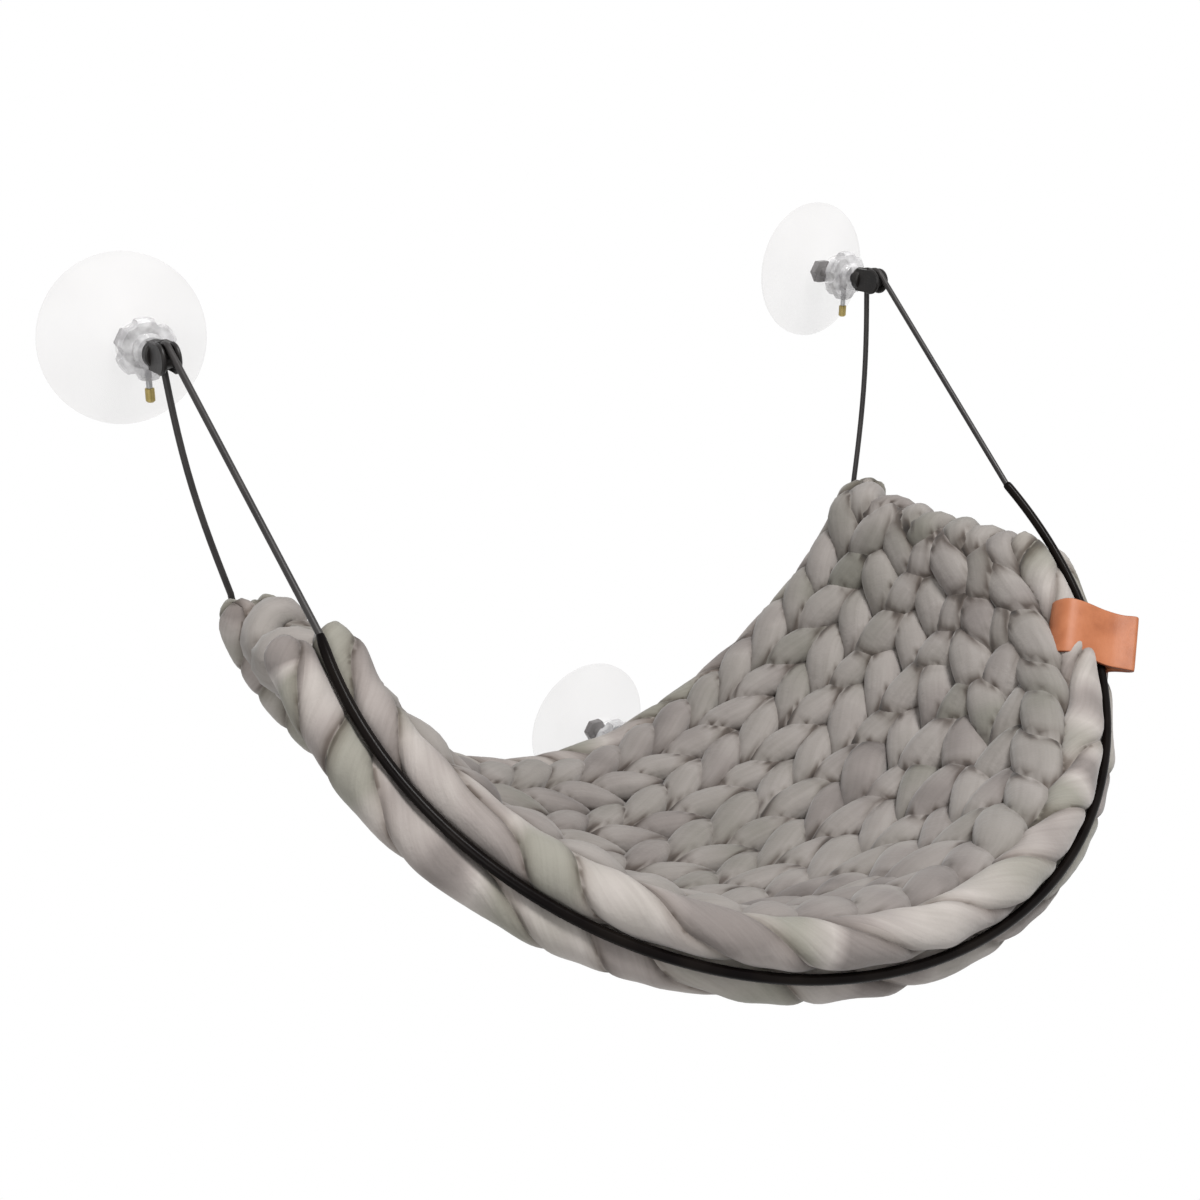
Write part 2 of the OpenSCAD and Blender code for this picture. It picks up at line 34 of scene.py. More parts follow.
# %% Load the frame
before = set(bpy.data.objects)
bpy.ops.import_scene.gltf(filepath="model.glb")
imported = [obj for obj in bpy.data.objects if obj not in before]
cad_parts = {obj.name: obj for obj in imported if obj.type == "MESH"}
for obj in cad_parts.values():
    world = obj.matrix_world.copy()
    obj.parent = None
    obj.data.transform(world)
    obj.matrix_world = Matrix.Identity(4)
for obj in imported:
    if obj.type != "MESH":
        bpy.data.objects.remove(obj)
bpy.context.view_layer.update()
MM = 0.001
rng = np.random.default_rng(7)
print(len(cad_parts), "solids in the frame")

# %% [markdown]
# ## The camera
# The camera comes first, so that each piece can be judged from the photograph's own side. Its place
# follows from the three round cups: they are circles of a known size on one flat pane, so their
# ellipses give the distance, the direction and the focal length.

# %% Camera
SENSOR_WIDTH = 36
FOCAL_PIXELS, FRAME_PIXELS = 1578.9, 1200
CAMERA_PLACE = (-0.4865, -0.7651, 0.1502)
CAMERA_RIGHT = Vector((0.8150, -0.5792, 0.0137))
CAMERA_UP = Vector((0.1893, 0.2885, 0.9386))

cam_data = bpy.data.cameras.new("camera")
cam_data.sensor_width = SENSOR_WIDTH
cam_data.lens = FOCAL_PIXELS / FRAME_PIXELS * SENSOR_WIDTH
cam = bpy.data.objects.new("camera", cam_data)
turn = Matrix((CAMERA_RIGHT, CAMERA_UP, CAMERA_RIGHT.cross(CAMERA_UP))).transposed().to_4x4()
cam.matrix_world = Matrix.Translation(CAMERA_PLACE) @ turn
bpy.context.scene.collection.objects.link(cam)
bpy.context.scene.camera = cam
bpy.context.scene.view_settings.view_transform = "Standard"
print("lens", round(cam_data.lens, 2), "mm")

# %% [markdown]
# ## The two curves that carry everything
# The front rim is half an ellipse in a sloping plane, and the back edge is a deeper, more pointed
# curve near the glass. Both are written as functions of one angle, from -90 degrees at the left to
# 90 at the right, so that every row of knitting can be strung between matching points.

# %% Sizes of the sling
SPACING = 456.0  # between the centres of the two upper cups
HOOK = 58.0  # from the glass to the middle of a knob's saddle
WRAP = 6.7  # radius of the cable's middle line over a saddle
TILT = math.radians(52.5)  # between the glass and the plane of the rim
RIM_HALF, RIM_DROP, RIM_DEPTH = 219.0, 186.0, 203.0  # half width, free height above, depth
BACK_HALF, BACK_DROP, BACK_DEPTH = 210.0, 124.0, 165.0  # the same three for the back edge
BACK_CURVE, BACK_LEAN = 1.5, 19.0  # how pointed the back edge is, and how far its ends lean out
RIM_LEAD, LEFT_LEAD = 1.03, 1.06  # how far a row's front end runs ahead of its back end
LEFT_RISE = 8.0  # the back edge's left end lies this much higher
LOWER_SIDE = 54.0  # from the middle to the lower cup
LOWER_ANGLE = math.asin(LOWER_SIDE / BACK_HALF)
CABLE_R, TUBE_R, EDGE_R, HALF_MAT = 1.8, 3.0, 10.5, 15.0  # radii, and half the mat's thickness
GAP = 0.4  # room between neighbours that rest on each other
MAT_SAG, SAG_END = 40.0, math.radians(88)  # deepest in the middle, gone at this angle
ROLL = math.radians(25)  # how far each edging is rolled over the mat

BACK_NEST = math.sqrt((EDGE_R + CABLE_R + GAP) ** 2 - EDGE_R**2)
FRONT_NEST = math.sqrt((EDGE_R + TUBE_R + GAP) ** 2 - EDGE_R**2)
SIDE_NEST = math.sqrt((EDGE_R + HALF_MAT + GAP) ** 2 - EDGE_R**2)
print("nests", round(BACK_NEST, 2), round(FRONT_NEST, 2), round(SIDE_NEST, 2))


# %% Curves of the sling
def unit(v):
    v = np.asarray(v, float)
    return v / np.maximum(np.linalg.norm(v, axis=-1, keepdims=True), 1e-12)


def flatten(v, t):
    """The part of v that stands square to the direction t, as a unit vector."""
    return unit(v - np.sum(v * t, axis=-1, keepdims=True) * t)


def rim_point(a):
    """The middle line of the front rim at an angle."""
    a = np.asarray(a, float)
    slope = RIM_DROP + RIM_DEPTH * np.cos(a)
    return np.stack(
        [RIM_HALF * np.sin(a), -HOOK - slope * math.sin(TILT), -slope * math.cos(TILT)], -1
    )


def rim_at(a):
    """The rim's point that belongs to the same row as the back edge's point at this angle."""
    a = np.asarray(a, float)
    return rim_point(a * np.where(a < 0, LEFT_LEAD, RIM_LEAD))


def back_point(a):
    """The middle line of the back edge at an angle. It comes nearest the glass at the lower cup."""
    a = np.asarray(a, float)
    s0 = math.sin(LOWER_ANGLE)
    side = np.where(a < LOWER_ANGLE, -1.0, 1.0)
    lean = (np.sin(a) - s0) / (1 - side * s0)
    high = BACK_DROP - np.where(a < 0, LEFT_RISE, 0.0)
    low = BACK_DROP + BACK_DEPTH
    drop = high + (low - high) * np.maximum(np.cos(a), 0) ** BACK_CURVE
    return np.stack([BACK_HALF * np.sin(a), -(HOOK - WRAP + BACK_LEAN * lean**2), -drop], -1)


print("rim's lowest point", rim_point(0.0).round(1), "back edge's", back_point(0.0).round(1))


# %% Directions on the sling
def along(a, share):
    """The way the mat runs from left to right. The share is 0 at the back and 1 at the front."""
    step = 0.01
    back = back_point(a + step) - back_point(a - step)
    front = rim_at(a + step) - rim_at(a - step)
    return unit((1 - share) * back + share * front)


def across(a):
    return unit(rim_at(a) - back_point(a))


def out_of(a, share):
    return unit(np.cross(across(a), along(a, share)))


def rolled(a, share, inward, roll=ROLL):
    """Inward and upward directions of an edging's section."""
    side = flatten(across(a), along(a, share))
    out = out_of(a, share)
    roll = np.broadcast_to(roll, a.shape)[:, None]
    into = np.cos(roll) * inward * side + np.sin(roll) * out
    up = np.cos(roll) * out - np.sin(roll) * inward * side
    return into, up


print("the middle row runs", across(0.0).round(2))

# %% [markdown]
# ## One tool for every strand
# Yarn, cable, tube and leather are all a section carried along a path. The sweep below takes the
# width and the depth of the section at each point, so that a strand can swell where it lies free
# and shrink where its neighbours press on it. It also writes a length along the strand into the UV
# map, which lets the material draw fibres and creases that follow the yarn.


# %% Measures along a strand
def length_along(points):
    """How far each point lies from the first one, measured along the path."""
    gone = np.linalg.norm(np.diff(points, axis=0), axis=1)
    return np.concatenate([[0], np.cumsum(gone)])


def eased(values, passes, heart=2):
    """Smooths values along a strand and holds its two ends."""
    for _ in range(passes):
        values[1:-1] = (values[:-2] + heart * values[1:-1] + values[2:]) / (2 + heart)
    return values


def smooth_noise(n, size, passes):
    """Seeded noise along a strand, smoothed so that the yarn wanders and never jumps."""
    return eased(rng.normal(0, 1, n), passes) * size


def round_ends(length, reach, least):
    """Shares that bring a strand to a round end, over the reach, at both of its ends."""
    near = np.minimum(length, length[-1] - length)
    x = np.clip(1 - near / reach, 0, 1)
    return np.sqrt(np.maximum(1 - x * x, least))


closing = round_ends(np.arange(0.0, 30.0, 3.0), reach=9.0, least=0.0)
print("a strand closes at its ends as", closing.round(2))

# %% Sweep tool
TWIST_PASSES = 8  # evens out how the section turns, so that no strand is pinched by a twist
UV_APART = 977  # moves each strand to its own place in the noise


def section_ways(points, face_way):
    """The directions of the section's width and depth at each point."""
    t = unit(np.gradient(points, axis=0))
    lying = face_way - np.sum(face_way * t, axis=-1, keepdims=True) * t
    b = flatten(eased(lying, TWIST_PASSES), t)
    return np.cross(t, b), b


def write_mesh(name, verts, faces, uvs, tones):
    """Turns arrays of corners, four-sided faces, UV places and tones into an object."""
    mesh = bpy.data.meshes.new(name)
    mesh.vertices.add(len(verts))
    mesh.vertices.foreach_set("co", verts.astype(np.float32).ravel())
    mesh.loops.add(len(faces) * 4)
    mesh.loops.foreach_set("vertex_index", faces.astype(np.int32).ravel())
    mesh.polygons.add(len(faces))
    mesh.polygons.foreach_set("loop_start", np.arange(0, len(faces) * 4, 4, dtype=np.int32))
    mesh.polygons.foreach_set("loop_total", np.full(len(faces), 4, dtype=np.int32))
    mesh.polygons.foreach_set("use_smooth", np.ones(len(faces), dtype=bool))
    layer = mesh.uv_layers.new(name="UVMap")
    layer.data.foreach_set("uv", uvs.astype(np.float32).ravel())
    mark = mesh.attributes.new("tone", "FLOAT", "POINT")
    mark.data.foreach_set("value", tones.astype(np.float32))
    mesh.update()
    mesh.validate()
    obj = bpy.data.objects.new(name, mesh)
    bpy.context.scene.collection.objects.link(obj)
    return obj


def sweep(name, runs, sides, square=1.0):
    """One mesh of strands. A run is (points, face way, half width, half depth, shade)."""
    verts, faces, uvs, tones = [], [], [], []
    base = 0
    ang = np.linspace(0, 2 * math.pi, sides, endpoint=False)
    ca = np.sign(np.cos(ang)) * np.abs(np.cos(ang)) ** square
    sa = np.sign(np.sin(ang)) * np.abs(np.sin(ang)) ** square
    for points, face_way, wide, deep, shade in runs:
        n = len(points)
        shade = np.broadcast_to(shade, n)
        s, b = section_ways(points, face_way)
        ring = (
            points[:, None, :]
            + wide[:, None, None] * ca[None, :, None] * s[:, None, :]
            + deep[:, None, None] * sa[None, :, None] * b[:, None, :]
        )
        verts.append(ring.reshape(-1, 3))
        i = np.arange(n - 1)[:, None]
        j = np.arange(sides)[None, :]
        k = (j + 1) % sides
        quad = [i * sides + j, i * sides + k, (i + 1) * sides + k, (i + 1) * sides + j]
        faces.append(np.stack(quad, -1).reshape(-1, 4) + base)
        u = length_along(points)[:, None] + 0.0 * j + float(shade[0]) * UV_APART
        u0, u1 = u[:-1], u[1:]
        v0 = (j / sides) + 0.0 * i
        v1 = ((j + 1) / sides) + 0.0 * i
        uv = [np.stack(q, -1) for q in ((u0, v0), (u0, v1), (u1, v1), (u1, v0))]
        uvs.append(np.stack(uv, 2).reshape(-1, 2))
        tones.append(np.repeat(shade, sides))
        base += n * sides
    faces = np.concatenate(faces)
    print(name, len(runs), "strands,", len(faces), "faces")
    return write_mesh(
        name, np.concatenate(verts) * MM, faces, np.concatenate(uvs), np.concatenate(tones)
    )


# %% [markdown]
# ## The knitted mat
# The mat is plain stocking stitch in a stuffed yarn some 22 mm thick. Each row is one yarn that
# wanders across the mat from the back edge to the front and makes a loop in every column: it comes
# up through the row before and goes down behind its own head. A few waves draw that path. One
# moves the yarn forwards and backs it up where the loop's neck is, one carries it up and down the
# column, and one lifts the legs in front of the heads, with a small overtone that sets the heads
# deeper. Neighbouring rows then lock into each other by themselves, and the surface shows the rows
# of V shapes that the photograph has.

# %% Mat surface
END = math.radians(83.2)  # angle of the last full row at each end
ROWS, ROW_STEP = 18, 32.0
EDGE_UNDER = 14.0  # how far the mat's two sides reach under the edgings
LEFT_SHORT, LEFT_SLANT, RIGHT_SLANT = 0.012, 0.048, 0.03  # the ends stop short, more at the back
CURL, SHRINK = 7.0, 0.55  # radius of the curled ends, and how much of a row's length they take
table_a = np.linspace(-END, END, 721)


def by_length(curve):
    """The table's angles as shares of the curve's length, from -1 to 1."""
    s = length_along(curve(table_a))
    return s / s[-1] * 2 - 1


mean_share = 0.5 * (by_length(rim_at) + by_length(back_point))


def angle_at(share):
    return np.interp(share, mean_share, table_a)


def flat_place(a, c):
    """A point of the mat's middle surface, at an angle along it and a share across it."""
    b_in, _ = rolled(a, 0.0, 1)
    f_in, _ = rolled(a, 1.0, -1)
    over = across(a)
    p0 = back_point(a) + (BACK_NEST + SIDE_NEST) * b_in - EDGE_UNDER * over
    p1 = rim_at(a) + (FRONT_NEST + SIDE_NEST) * f_in + EDGE_UNDER * over
    up = out_of(a, 0.5)
    sag = MAT_SAG * np.cos(a * (math.pi / 2) / SAG_END) ** 2
    c = c[:, None]
    return p0 * (1 - c) + p1 * c - sag[:, None] * np.sin(math.pi * c) * up, up


def mat_place(share, c):
    """The same surface, curled round and back underneath beyond the two ends of the mat."""
    inside = np.clip(share, -1, 1)
    short = np.where(inside < 0, LEFT_SHORT + LEFT_SLANT * (1 - c), RIGHT_SLANT * (1 - c))
    a = angle_at(inside * (1 - short))
    p, up = flat_place(a, c)
    beyond = (np.abs(share) - 1).clip(0) * ROWS / 2 * ROW_STEP * SHRINK
    phi = np.minimum(beyond / CURL, math.pi)
    on = along(a, 0.5) * np.sign(share)[:, None]
    phi = phi[:, None]
    p = p + CURL * np.sin(phi) * on - CURL * (1 - np.cos(phi)) * up
    return p, up * np.cos(phi) + on * np.sin(phi), phi[:, 0]


def mat_width(share, count=41):
    """The mat's width at a share of its length, measured over the sag."""
    a = angle_at(np.full(count, np.clip(share, -1, 1)))
    p, _ = flat_place(a, np.linspace(0, 1, count))
    return np.linalg.norm(np.diff(p, axis=0), axis=1).sum()


print("mat", mat_width(0).round(), "mm wide in the middle,", mat_width(1).round(), "at its ends")

# %% Rows of the mat
PITCH = 43.0  # width of one column of loops
LOOP_OUT = 0.239  # how far a loop backs up at its neck, as a share of a column
LOOP_HALF = 0.96  # how far a loop reaches each way, as a share of a row
LIFT, HEADS_DEEPER, LIFT_LOST = 8.0, 0.12, 0.55  # legs in front of heads, less at the curled ends
LAST_COLUMNS = 2.5  # columns at the front that share out what is left of the width
FILL_OUT, FILL_FROM = 1.1, 0.7  # how much the yarn fills those columns, and where that starts
WANDER, WANDER_PASSES = 2.4, 12
HEAD_WIDE, LEG_WIDER, HEAD_DEEP, LEG_DEEPER = 7.7, 3.9, 7.3, 2.0
LAST_FULLER = 1.6  # the two outermost rows have no neighbour that presses on their heads
SWELL, LEG_SHADES, ROW_SHADES, SHADE_PASSES = 0.06, 0.75, 0.25, 9


def course(c, per_loop=38):
    """The yarn of one row: across the mat from back to front, one loop in each column."""
    mid = -1 + 2 * (c + 0.5) / ROWS
    w = mat_width(mid)
    n = max(2, int(round(w / PITCH - 0.5)))
    t = np.linspace(-2 * math.pi, (2 * n - 1) * math.pi, int((n + 0.5) * per_loop) + 1)
    v = t / (2 * math.pi) + 1 + LOOP_OUT * np.sin(2 * t)
    share = mid - LOOP_HALF * np.cos(t) * 2 / ROWS
    spare = (w - (n + 0.5) * PITCH) / LAST_COLUMNS
    kept = n + 0.5 - LAST_COLUMNS
    dist = np.where(v < kept, PITCH * v, PITCH * kept + (PITCH + spare) * (v - kept))
    p, up, phi = mat_place(share, dist / w)
    leg = 0.5 - 0.5 * np.cos(2 * t)
    lift = LIFT * (1 - LIFT_LOST * phi / math.pi)
    points = p - (lift * (np.cos(2 * t) + HEADS_DEEPER * np.cos(4 * t)))[:, None] * up
    points += np.stack([smooth_noise(len(t), WANDER, WANDER_PASSES) for _ in range(3)], -1)
    which = np.floor((t + 2 * math.pi) / math.pi).astype(int)
    swell = rng.normal(1, SWELL, which.max() + 2)[which]
    shade = rng.uniform(0, 1, which.max() + 2)[which] * LEG_SHADES + rng.uniform(0, ROW_SHADES)
    swell = eased(swell, SHADE_PASSES, 1)
    shade = eased(shade, SHADE_PASSES, 1)
    shut = round_ends(length_along(points), reach=9.0, least=0.0004)
    last = LAST_FULLER if c in (-1, ROWS) else 0.0
    fuller = 1 + FILL_OUT * max(spare, 0) / PITCH * np.clip(v - kept + FILL_FROM, 0, 1)
    wide = (HEAD_WIDE + last + (LEG_WIDER - last) * leg) * swell * shut * fuller
    deep = (HEAD_DEEP + last + (LEG_DEEPER - last) * leg) * swell * shut
    return points, up, wide, deep, shade


bed = sweep("knitted_bed_yarn", [course(c) for c in range(-1, ROWS + 1)], 24, square=0.86)

# %% [markdown]
# ## The two edgings
# Each long edge is finished with a rolled cord of the same yarn, above and below the line that
# carries it, so the cable or the tube lies in the furrow between the two rolls. In the photograph
# the seams of these rolls all lean one way, like the strands of a rope, so each roll is laid as
# fat strands wound round one middle line: two in each roll of the front, and three at the back.
# A stranded rope was chosen over a single tube with grooves, because the rounded noses of its
# strands give the scalloped outline under the tube.

# %% One roll of an edging
HELD = math.radians(86)  # past this angle a roll is led on straight
LED_ON, LED_FROM = 190.0, 0.12  # length for each radian past it, and the angle that sets its way
PROUD = 1.2  # how far a roll stands clear of the line it holds
ROLL_POINTS, ROLL_STEP = 900, 1.9
ROLL_WANDER, ROLL_BULGE, ROLL_SHADE = (3.0, 110), (0.13, 22), (2.2, 75)  # sizes and passes


def past_end(curve, a):
    """The curve, led on straight where it is followed past the last knitted row."""
    held = np.clip(a, -HELD, HELD)
    over = (a - held)[:, None]
    way = unit(curve(np.sign(a) * HELD) - curve(np.sign(a) * (HELD - LED_FROM)))
    return curve(held) + np.abs(over) * LED_ON * way


def roll(side, start, ends, curve, share, inward, nest, leans, plies, lead, way, section):
    """Fat strands wound round the middle line of one roll of an edging."""
    a = np.linspace(-math.radians(ends[0]), math.radians(ends[1]), ROLL_POINTS)
    lean = np.radians(np.interp(np.degrees(a), *leans))
    into, up = rolled(np.clip(a, -HELD, HELD), share, inward, lean)
    middle = past_end(curve, a) + (nest + PROUD) * into + side * EDGE_R * up
    gone = length_along(middle)
    even = np.linspace(0, gone[-1], int(gone[-1] / ROLL_STEP))

    def evenly(x):
        return np.stack([np.interp(even, gone, x[:, i]) for i in range(3)], -1)

    middle, into, up = evenly(middle), unit(evenly(into)), unit(evenly(up))
    turns = int(round(gone[-1] / lead * plies)) / plies
    wander = smooth_noise(len(even), *ROLL_WANDER)
    arm, wide, deep = section
    full = round_ends(even, reach=13.0, least=0.002)
    runs = []
    for ply in range(plies):
        th = way * (2 * math.pi * even / gone[-1] * turns + wander)
        th = th + 2 * math.pi * (ply + start) / plies
        out = np.cos(th)[:, None] * -into + np.sin(th)[:, None] * up
        size = full * (1 + smooth_noise(len(even), *ROLL_BULGE))
        points = middle + (arm * full)[:, None] * out
        shade = rng.uniform(0.2, 0.8) + smooth_noise(len(even), *ROLL_SHADE)
        runs.append((points, out, wide * size, deep * size, shade))
    return runs


# %% Edgings
front_plan = {
    "curve": rim_at,
    "share": 1.0,
    "inward": -1,
    "nest": FRONT_NEST,
    "leans": ((-75, -50, -35, -15, 5, 25, 45), (-2, 12, 28, 29, 22, 12, 2)),
    "plies": 2,
    "lead": 96.0,
    "way": -1,
    "section": (3.7, 9.9, 7.1),
}
back_plan = {
    "curve": back_point,
    "share": 0.0,
    "inward": 1,
    "nest": BACK_NEST,
    "leans": ((-60, -20, 0, 20, 60), (40, 36, 30, 10, -20)),
    "plies": 3,
    "lead": 99.0,
    "way": 1,
    "section": (5.0, 7.9, 6.5),
}

front_runs = roll(1, 0.0, (94.5, 85), **front_plan) + roll(-1, 0.5, (94.5, 82), **front_plan)
front = sweep("front_edging_yarn", front_runs, 24, square=0.9)
back_runs = roll(1, 0.0, (81, 88), **back_plan) + roll(-1, 0.5, (87.5, 88), **back_plan)
back = sweep("back_edging_yarn", back_runs, 18, square=0.9)

# %% [markdown]
# ## The cable and the tube
# One cable closes in a loop: along the back edge, up to each upper knob, over its saddle and down
# into the front rim, where a tube covers it. The points are those of the frame's own cable, taken
# closer together so that no corner shows. Both are drawn a little thinner than their solids,
# because the photograph shows them so.

# %% Route of the cable
FREE_BOW = 3.5  # how far the free lengths at the back bow outwards
RIM_END = math.radians(97)


def saddle_point(side, deg):
    r = math.radians(deg)
    return [side * SPACING / 2, -HOOK + WRAP * math.cos(r), WRAP * math.sin(r)]


def half_cable(side):
    """From the middle of the back edge, up to one saddle and over it."""
    rise = LEFT_RISE if side < 0 else 0.0
    first = -math.degrees(math.atan(BACK_LEAN / (BACK_DROP - rise)))
    last = 180 - math.degrees(TILT) + math.degrees(math.asin(WRAP / RIM_DROP))
    low = back_point(np.radians(np.linspace(0, 90, 60)) * side)
    top = np.array(saddle_point(side, first))
    share = np.linspace(0, 1, 14)[1:-1]
    free = low[-1] * (1 - share)[:, None] + top * share[:, None]
    free[:, 0] += side * FREE_BOW * np.sin(math.pi * share)
    over = np.array([saddle_point(side, d) for d in np.linspace(first, last, 24)])
    return np.concatenate([low, free, over])


rim_line = rim_point(np.linspace(RIM_END, -RIM_END, 150))
loop = np.concatenate([half_cable(1), rim_line, half_cable(-1)[::-1][:-1]])
print("cable", length_along(loop)[-1].round(), "mm, tube", length_along(rim_line)[-1].round())

# %% Cable and tube
CABLE_SLIMMER, TUBE_SLIMMER = 0.15, 0.5
LIP, SHOULDER = 0.1, 0.65  # the tube's mouth closes on the cable, over a small shoulder


def round_run(points, radius):
    """A round section along a path, turned along with it so that it never twists."""
    t = unit(np.gradient(points, axis=0))
    way = [flatten(np.array([0.0, 1.0, 0.0]), t[0])]
    for i in range(1, len(points)):
        way.append(flatten(way[-1], t[i]))
    size = np.full(len(points), radius)
    return points, np.array(way), size, size, 0.5


cable = sweep("suspension_cable_sheath", [round_run(loop, CABLE_R - CABLE_SLIMMER)], 14)
mouth = [rim_line[0] + (rim_line[1] - rim_line[0]) * s for s in (0.0, 0.15, 0.5)]
tube_points = np.concatenate([mouth, rim_line[1:-1], [rim_line[-1]]])
tube_sizes = np.full(len(tube_points), TUBE_R - TUBE_SLIMMER)
tube_sizes[0] = tube_sizes[-1] = CABLE_R + LIP
tube_sizes[1] = tube_sizes[-2] = TUBE_R - SHOULDER
tube = sweep("rim_tube_sleeve", [round_run(tube_points, tube_sizes)], 16)

# %% [markdown]
# ## The leather tag
# A strap of leather is looped round the front edging and the tube. It comes out of the knitting on
# the inner side, crosses the roll, drops over the tube and lies flat, and its second layer runs
# back close under the first. In the photograph it sits askew, so the strap is turned a little.

# %% Leather tag
TAG_ANGLE, TAG_LEAN, TAG_TURN = math.radians(65), math.radians(4), math.radians(20)
TAG_SHIFT = 5  # towards the left along the rim
TAG_HALF, TAG_HALF_THICK = 16.0, 1.05
TAG_EASE, TAG_WAVE = 14, (0.25, 20)
tag_path = np.array([
    (-20, 11), (-18.8, 17), (-15.4, 21.4), (-10, 23.4), (-5.5, 23.3), (-1, 19),
    (2.6, 13), (6, 6.8), (10, 1.6), (14.5, -1.8), (18.5, -3.6), (20.8, -4.9),
    (19.6, -6.5), (15, -5.2), (11, -3.9), (7, -3.9), (5, -5.4), (3.6, -9),
    (1.2, -15), (-4, -21), (-10, -23.6), (-16, -21.4), (-19, -15),
])
steps = np.linspace(0, len(tag_path) - 1, 140)
flat = np.stack([np.interp(steps, np.arange(len(tag_path)), tag_path[:, i]) for i in (0, 1)], -1)
flat = eased(flat, TAG_EASE)

tag_at = np.array([TAG_ANGLE])
inner, high = (d[0] for d in rolled(tag_at, 1.0, -1, TAG_LEAN))
level = unit(along(tag_at, 1.0))[0]
outer = -math.cos(TAG_TURN) * inner - math.sin(TAG_TURN) * level
points = rim_at(tag_at)[0] + flat[:, :1] * outer + flat[:, 1:] * high - TAG_SHIFT * level
wide_way = math.cos(TAG_TURN) * level - math.sin(TAG_TURN) * inner
face_way = np.cross(unit(np.gradient(points, axis=0)), wide_way)
wide = np.full(len(points), TAG_HALF) + smooth_noise(len(points), *TAG_WAVE)
thick = np.full(len(points), TAG_HALF_THICK)
tag = sweep("leather_tag_strap", [(points, face_way, wide, thick, 0.5)], 40, square=0.2)

# %% [markdown]
# ## Painted crease shade
# Where two strands press together, the yarn is painted darker and browner: painted shade in the
# creases, on top of the shading that the lamps give. Twelve short rays leave each point of the
# yarn, and the share of their reach that stays free is kept on the mesh, for the material to read.

# %% Painted crease shade
REACH, CLEAR, RAYS = 0.0075, 0.0004, 12


def fan_of_rays(count):
    """Directions spread evenly over the upper half of a ball, denser towards the top."""
    spin = math.pi * (3 - math.sqrt(5))
    fan = []
    for i in range(count):
        high = math.sqrt((i + 0.5) / count)
        flat = math.sqrt(1 - high * high)
        fan.append(Vector((flat * math.cos(i * spin), flat * math.sin(i * spin), high)))
    return fan


# The open share written here is the mask for the shade painted into the yarn's creases.
def mark_crease_shade(yarns, others):
    """Writes on each yarn how open its surface is, from 0 in a crease to 1 in the free."""
    verts, faces = [], []
    for obj in yarns + others:
        start = len(verts)
        verts += [v.co for v in obj.data.vertices]
        faces += [tuple(start + i for i in f.vertices) for f in obj.data.polygons]
    tree = BVHTree.FromPolygons(verts, faces)
    fan = fan_of_rays(RAYS)
    for obj in yarns:
        away = np.ones(len(obj.data.vertices), np.float32)
        for v in obj.data.vertices:
            turn = v.normal.to_track_quat("Z", "Y")
            start = v.co + v.normal * CLEAR
            seen = 0.0
            for ray in fan:
                hit = tree.ray_cast(start, turn @ ray, REACH)
                seen += 1.0 if hit[0] is None else hit[3] / REACH
            away[v.index] = seen / len(fan)
        mark = obj.data.attributes.new("open", "FLOAT", "POINT")
        mark.data.foreach_set("value", away)
        print(obj.name, "open share", round(float(away.mean()), 2))


mark_crease_shade([bed, front, back], [tube, cable])

# %% [markdown]
# ## Places in the frame
# Each dressed piece rides the body of the sling and stands in for its plain solid, which is
# hidden. The yarn pieces are stuffed.

# %% Hang the pieces on the frame
for obj, node, slot in (
    (bed, "knitted_bed", "yarn_bed"),
    (front, "front_edging", "yarn_edging"),
    (back, "back_edging", "yarn_edging"),
    (cable, "suspension_cable", "cable_black"),
    (tube, "rim_tube", "tube_black"),
    (tag, "leather_tag", "tan_leather"),
):
    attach(obj, "sling")
    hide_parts(node)
    print(obj.name, "stands in for", node)


# %% [markdown]
# ## Materials
# Every material is built from noise, with no pictures. The yarn is the one that matters most: the
# photograph shows a soft stuffed jersey whose grey wanders between taupe and a cool green grey over
# the length of a strand, with fine ribs along it and creases where it bends.


# %% Material tools
def new_material(name, colour, rough=0.5, metal=0.0, **more):
    m = bpy.data.materials.new(name)
    m.use_nodes = True
    b = m.node_tree.nodes["Principled BSDF"]
    b.inputs["Base Color"].default_value = (*colour, 1)
    b.inputs["Roughness"].default_value = rough
    b.inputs["Metallic"].default_value = metal
    for key, value in more.items():
        b.inputs[key.replace("_", " ")].default_value = value
    return m


def shader_of(m):
    return m.node_tree.nodes["Principled BSDF"]


def node(m, kind, **inputs):
    n = m.node_tree.nodes.new(kind)
    for key, value in inputs.items():
        n.inputs[key.replace("_", " ")].default_value = value
    return n


def link(m, a, out, b, inp):
    m.node_tree.links.new(a.outputs[out], b.inputs[inp])


def maths(m, operation, *values):
    """A maths node. Each value is a number or a (node, output) pair."""
    n = node(m, "ShaderNodeMath")
    n.operation = operation
    for i, value in enumerate(values):
        if isinstance(value, tuple):
            link(m, *value, n, i)
        else:
            n.inputs[i].default_value = value
    return n


def times(m, first, second):
    """Multiplies two colours, each a (node, output) pair."""
    n = node(m, "ShaderNodeVectorMath")
    n.operation = "MULTIPLY"
    link(m, *first, n, 0)
    link(m, *second, n, 1)
    return n


def attribute(m, name):
    n = node(m, "ShaderNodeAttribute")
    n.attribute_name = name
    return n


# %% Noise, ramps and bumps
def noise_of(m, source, out, scale, stretch=(1, 1, 1), detail=2.0, rough=0.5):
    """A noise read in stretched coordinates."""
    mapping = node(m, "ShaderNodeMapping", Scale=stretch)
    link(m, source, out, mapping, "Vector")
    n = node(m, "ShaderNodeTexNoise", Scale=scale, Detail=detail, Roughness=rough)
    link(m, mapping, "Vector", n, "Vector")
    return n


def set_stops(ramp, stops):
    while len(ramp.elements) < len(stops):
        ramp.elements.new(0.5)
    for element, (place, colour) in zip(ramp.elements, stops):
        element.position = place
        element.color = (*colour, 1)


